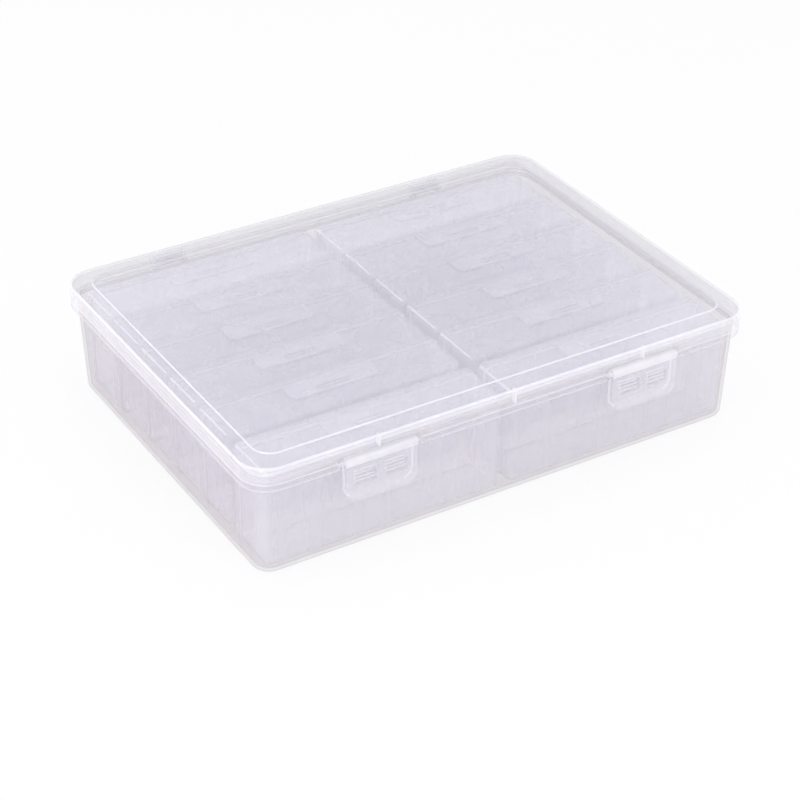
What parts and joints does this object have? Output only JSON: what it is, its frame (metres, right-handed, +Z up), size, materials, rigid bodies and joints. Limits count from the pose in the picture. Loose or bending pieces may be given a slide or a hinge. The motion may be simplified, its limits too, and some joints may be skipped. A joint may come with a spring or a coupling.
{
  "type": "divided craft storage box",
  "caption": "Clear flat storage box with a hinged lid and front latches, holding rows of smaller latched cases that stand on edge for sorted craft supplies.",
  "frame": {"origin": "centre of the tub's flat underside", "axes": "+Z up, +X along the long side, latches on the -Y side and hinge on the +Y side"},
  "size_m": [0.34, 0.2601, 0.0769],
  "materials": {
    "tub": "clear, slightly milky, gloss",
    "lid": "clear, gloss",
    "latch": "clear, slightly milky, gloss",
    "case_base": "clear, slightly milky, gloss",
    "case_lid": "clear, slightly milky, gloss"
  },
  "bodies": {
    "tub": {"tub": "tub"},
    "lid": {"lid": "lid"},
    "latch_left": {"latch_left": "latch"},
    "latch_right": {"latch_right": "latch"},
    "case_1_left": {"case_1_left_base": "case_base", "case_1_left_lid": "case_lid"},
    "case_1_right": {"case_1_right_base": "case_base", "case_1_right_lid": "case_lid"},
    "case_2_left": {"case_2_left_base": "case_base", "case_2_left_lid": "case_lid"},
    "case_2_right": {"case_2_right_base": "case_base", "case_2_right_lid": "case_lid"},
    "case_3_left": {"case_3_left_base": "case_base", "case_3_left_lid": "case_lid"},
    "case_3_right": {"case_3_right_base": "case_base", "case_3_right_lid": "case_lid"},
    "case_4_left": {"case_4_left_base": "case_base", "case_4_left_lid": "case_lid"},
    "case_4_right": {"case_4_right_base": "case_base", "case_4_right_lid": "case_lid"},
    "case_5_left": {"case_5_left_base": "case_base", "case_5_left_lid": "case_lid"},
    "case_5_right": {"case_5_right_base": "case_base", "case_5_right_lid": "case_lid"},
    "case_6_left": {"case_6_left_base": "case_base", "case_6_left_lid": "case_lid"},
    "case_6_right": {"case_6_right_base": "case_base", "case_6_right_lid": "case_lid"}
  },
  "joints": [
    {"name": "lid_hinge", "type": "hinge", "parent": "tub", "child": "lid", "pos_m": [0, 0.12925, 0.0649], "axis": [-1, 0, 0], "range_deg": [0, 105]},
    {"name": "latch_left_hinge", "type": "hinge", "parent": "lid", "child": "latch_left", "pos_m": [-0.09, -0.1243, 0.06325], "axis": [-1, 0, 0], "range_deg": [0, 110]},
    {"name": "latch_right_hinge", "type": "hinge", "parent": "lid", "child": "latch_right", "pos_m": [0.09, -0.1243, 0.06325], "axis": [-1, 0, 0], "range_deg": [0, 110]},
    {"name": "case_1_left_lift", "type": "slide", "parent": "tub", "child": "case_1_left", "axis": [0, 0, 1], "range_m": [0, 0.005]},
    {"name": "case_1_right_lift", "type": "slide", "parent": "tub", "child": "case_1_right", "axis": [0, 0, 1], "range_m": [0, 0.005]},
    {"name": "case_2_left_lift", "type": "slide", "parent": "tub", "child": "case_2_left", "axis": [0, 0, 1], "range_m": [0, 0.005]},
    {"name": "case_2_right_lift", "type": "slide", "parent": "tub", "child": "case_2_right", "axis": [0, 0, 1], "range_m": [0, 0.005]},
    {"name": "case_3_left_lift", "type": "slide", "parent": "tub", "child": "case_3_left", "axis": [0, 0, 1], "range_m": [0, 0.005]},
    {"name": "case_3_right_lift", "type": "slide", "parent": "tub", "child": "case_3_right", "axis": [0, 0, 1], "range_m": [0, 0.005]},
    {"name": "case_4_left_lift", "type": "slide", "parent": "tub", "child": "case_4_left", "axis": [0, 0, 1], "range_m": [0, 0.005]},
    {"name": "case_4_right_lift", "type": "slide", "parent": "tub", "child": "case_4_right", "axis": [0, 0, 1], "range_m": [0, 0.005]},
    {"name": "case_5_left_lift", "type": "slide", "parent": "tub", "child": "case_5_left", "axis": [0, 0, 1], "range_m": [0, 0.005]},
    {"name": "case_5_right_lift", "type": "slide", "parent": "tub", "child": "case_5_right", "axis": [0, 0, 1], "range_m": [0, 0.005]},
    {"name": "case_6_left_lift", "type": "slide", "parent": "tub", "child": "case_6_left", "axis": [0, 0, 1], "range_m": [0, 0.005]},
    {"name": "case_6_right_lift", "type": "slide", "parent": "tub", "child": "case_6_right", "axis": [0, 0, 1], "range_m": [0, 0.005]}
  ]
}
